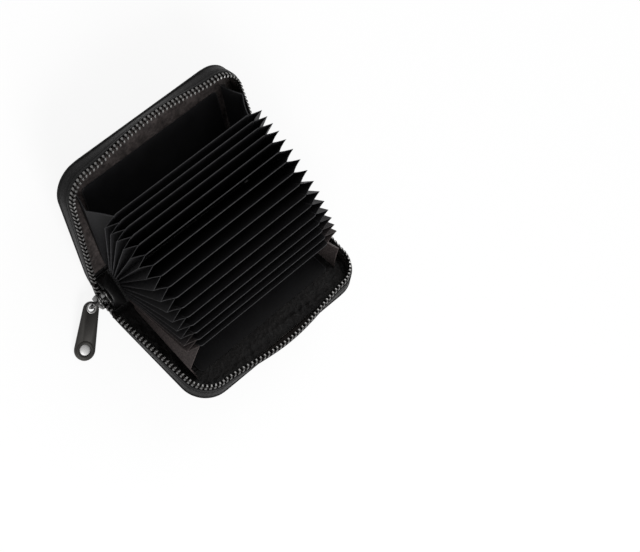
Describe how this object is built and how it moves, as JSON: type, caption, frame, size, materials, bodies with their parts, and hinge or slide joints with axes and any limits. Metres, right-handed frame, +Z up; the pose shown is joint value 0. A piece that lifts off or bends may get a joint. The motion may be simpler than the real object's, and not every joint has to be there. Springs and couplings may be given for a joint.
{
  "type": "zip card holder",
  "caption": "Zip-around leather card holder standing open on its spine, with an accordion of card pockets between two covers and a zip slider with a pull tab.",
  "frame": {"origin": "middle of the spine's flat underside, on which the open holder stands", "axes": "+Z up out of the open mouth, +X along the spine away from the waiting slider, +Y towards the front cover"},
  "size_m": [0.1399, 0.1328, 0.0553],
  "materials": {
    "leather": "black pebbled satin leather",
    "board": "grey stiffening board",
    "lining": "dark charcoal woven lining",
    "leaf": "smooth black coated sheet",
    "zip_tape": "dark woven tape",
    "zip_teeth": "gunmetal plated",
    "slider": "gunmetal plated casting with bright edges",
    "rivet": "bright nickel",
    "pull_tab": "satin gunmetal"
  },
  "bodies": {
    "spine": {"spine_leather": "leather", "spine_board": "board", "accordion_back": "leaf", "left_tongue": "leather", "right_tongue": "leather", "left_gusset": "leaf", "right_gusset": "leaf", "front_left_zip_tail": "zip_tape", "rear_left_zip_tail": "zip_tape", "front_right_zip_tail": "zip_tape", "rear_right_zip_tail": "zip_tape"},
    "front_cover": {"front_leather": "leather", "front_board": "board", "front_lining": "lining", "front_end_sheet": "leaf", "front_wall": "leather", "front_zip_tape": "zip_tape", "front_zip_teeth": "zip_teeth"},
    "rear_cover": {"rear_leather": "leather", "rear_board": "board", "rear_lining": "lining", "rear_end_sheet": "leaf", "rear_wall": "leather", "rear_zip_tape": "zip_tape", "rear_zip_teeth": "zip_teeth"},
    "leaf_01": {"leaf_01": "leaf"},
    "leaf_02": {"leaf_02": "leaf"},
    "leaf_03": {"leaf_03": "leaf"},
    "leaf_04": {"leaf_04": "leaf"},
    "leaf_05": {"leaf_05": "leaf"},
    "leaf_06": {"leaf_06": "leaf"},
    "leaf_07": {"leaf_07": "leaf"},
    "leaf_08": {"leaf_08": "leaf"},
    "leaf_09": {"leaf_09": "leaf"},
    "leaf_10": {"leaf_10": "leaf"},
    "leaf_11": {"leaf_11": "leaf"},
    "leaf_12": {"leaf_12": "leaf"},
    "leaf_13": {"leaf_13": "leaf"},
    "leaf_14": {"leaf_14": "leaf"},
    "leaf_15": {"leaf_15": "leaf"},
    "leaf_16": {"leaf_16": "leaf"},
    "slider": {"slider_body": "slider", "slider_bail": "slider"},
    "pull_tab": {"pull_tab": "pull_tab", "pull_tab_eyelet": "rivet", "pull_tab_rivet": "rivet"}
  },
  "joints": [
    {"name": "front_cover_hinge", "type": "hinge", "parent": "spine", "child": "front_cover", "pos_m": [0, 0.012, 0.0005], "axis": [1, 0, 0], "range_deg": [0, 58], "deforming": ["left_gusset", "right_gusset", "front_left_zip_tail", "front_right_zip_tail"]},
    {"name": "rear_cover_hinge", "type": "hinge", "parent": "spine", "child": "rear_cover", "pos_m": [0, -0.012, 0.0005], "axis": [-1, 0, 0], "range_deg": [0, 58], "deforming": ["rear_left_zip_tail", "rear_right_zip_tail"]},
    {"name": "leaf_01_hinge", "type": "hinge", "parent": "spine", "child": "leaf_01", "pos_m": [0, 0.0087, 0.00335], "axis": [1, 0, 0], "range_deg": [0, 33.8]},
    {"name": "leaf_02_hinge", "type": "hinge", "parent": "spine", "child": "leaf_02", "pos_m": [0, 0.00754, 0.00335], "axis": [1, 0, 0], "range_deg": [0, 30.56]},
    {"name": "leaf_03_hinge", "type": "hinge", "parent": "spine", "child": "leaf_03", "pos_m": [0, 0.00638, 0.00335], "axis": [1, 0, 0], "range_deg": [0, 27.11]},
    {"name": "leaf_04_hinge", "type": "hinge", "parent": "spine", "child": "leaf_04", "pos_m": [0, 0.00522, 0.00335], "axis": [1, 0, 0], "range_deg": [0, 23.25]},
    {"name": "leaf_05_hinge", "type": "hinge", "parent": "spine", "child": "leaf_05", "pos_m": [0, 0.00406, 0.00335], "axis": [1, 0, 0], "range_deg": [0, 18.88]},
    {"name": "leaf_06_hinge", "type": "hinge", "parent": "spine", "child": "leaf_06", "pos_m": [0, 0.0029, 0.00335], "axis": [1, 0, 0], "range_deg": [0, 13.97]},
    {"name": "leaf_07_hinge", "type": "hinge", "parent": "spine", "child": "leaf_07", "pos_m": [0, 0.00174, 0.00335], "axis": [1, 0, 0], "range_deg": [0, 8.59]},
    {"name": "leaf_08_hinge", "type": "hinge", "parent": "spine", "child": "leaf_08", "pos_m": [0, 0.00058, 0.00335], "axis": [1, 0, 0], "range_deg": [0, 2.9]},
    {"name": "leaf_09_hinge", "type": "hinge", "parent": "spine", "child": "leaf_09", "pos_m": [0, -0.00058, 0.00335], "axis": [-1, 0, 0], "range_deg": [0, 2.9]},
    {"name": "leaf_10_hinge", "type": "hinge", "parent": "spine", "child": "leaf_10", "pos_m": [0, -0.00174, 0.00335], "axis": [-1, 0, 0], "range_deg": [0, 8.59]},
    {"name": "leaf_11_hinge", "type": "hinge", "parent": "spine", "child": "leaf_11", "pos_m": [0, -0.0029, 0.00335], "axis": [-1, 0, 0], "range_deg": [0, 13.97]},
    {"name": "leaf_12_hinge", "type": "hinge", "parent": "spine", "child": "leaf_12", "pos_m": [0, -0.00406, 0.00335], "axis": [-1, 0, 0], "range_deg": [0, 18.88]},
    {"name": "leaf_13_hinge", "type": "hinge", "parent": "spine", "child": "leaf_13", "pos_m": [0, -0.00522, 0.00335], "axis": [-1, 0, 0], "range_deg": [0, 23.25]},
    {"name": "leaf_14_hinge", "type": "hinge", "parent": "spine", "child": "leaf_14", "pos_m": [0, -0.00638, 0.00335], "axis": [-1, 0, 0], "range_deg": [0, 27.11]},
    {"name": "leaf_15_hinge", "type": "hinge", "parent": "spine", "child": "leaf_15", "pos_m": [0, -0.00754, 0.00335], "axis": [-1, 0, 0], "range_deg": [0, 30.56]},
    {"name": "leaf_16_hinge", "type": "hinge", "parent": "spine", "child": "leaf_16", "pos_m": [0, -0.0087, 0.00335], "axis": [-1, 0, 0], "range_deg": [0, 33.8]},
    {"name": "slider_travel", "type": "slide", "parent": "spine", "child": "slider", "axis": [0.0695, 0, 0.9976], "range_m": [0, 0.03801]},
    {"name": "pull_tab_swing", "type": "hinge", "parent": "slider", "child": "pull_tab", "pos_m": [-0.06318, 0, 0.00535], "axis": [-0.0931, -0.1034, 0.9903], "range_deg": [-118, 22]}
  ],
  "couplings": [
    {"joint": "rear_cover_hinge", "follows": "front_cover_hinge", "ratio": 1},
    {"joint": "leaf_01_hinge", "follows": "front_cover_hinge", "ratio": 0.58276},
    {"joint": "leaf_02_hinge", "follows": "front_cover_hinge", "ratio": 0.52694},
    {"joint": "leaf_03_hinge", "follows": "front_cover_hinge", "ratio": 0.46733},
    {"joint": "leaf_04_hinge", "follows": "front_cover_hinge", "ratio": 0.40082},
    {"joint": "leaf_05_hinge", "follows": "front_cover_hinge", "ratio": 0.32545},
    {"joint": "leaf_06_hinge", "follows": "front_cover_hinge", "ratio": 0.24084},
    {"joint": "leaf_07_hinge", "follows": "front_cover_hinge", "ratio": 0.14817},
    {"joint": "leaf_08_hinge", "follows": "front_cover_hinge", "ratio": 0.050035},
    {"joint": "leaf_09_hinge", "follows": "front_cover_hinge", "ratio": 0.050035},
    {"joint": "leaf_10_hinge", "follows": "front_cover_hinge", "ratio": 0.14817},
    {"joint": "leaf_11_hinge", "follows": "front_cover_hinge", "ratio": 0.24084},
    {"joint": "leaf_12_hinge", "follows": "front_cover_hinge", "ratio": 0.32545},
    {"joint": "leaf_13_hinge", "follows": "front_cover_hinge", "ratio": 0.40082},
    {"joint": "leaf_14_hinge", "follows": "front_cover_hinge", "ratio": 0.46733},
    {"joint": "leaf_15_hinge", "follows": "front_cover_hinge", "ratio": 0.52694},
    {"joint": "leaf_16_hinge", "follows": "front_cover_hinge", "ratio": 0.58276},
    {"joint": "slider_travel", "follows": "front_cover_hinge", "m_per_rad": 0.037539}
  ]
}
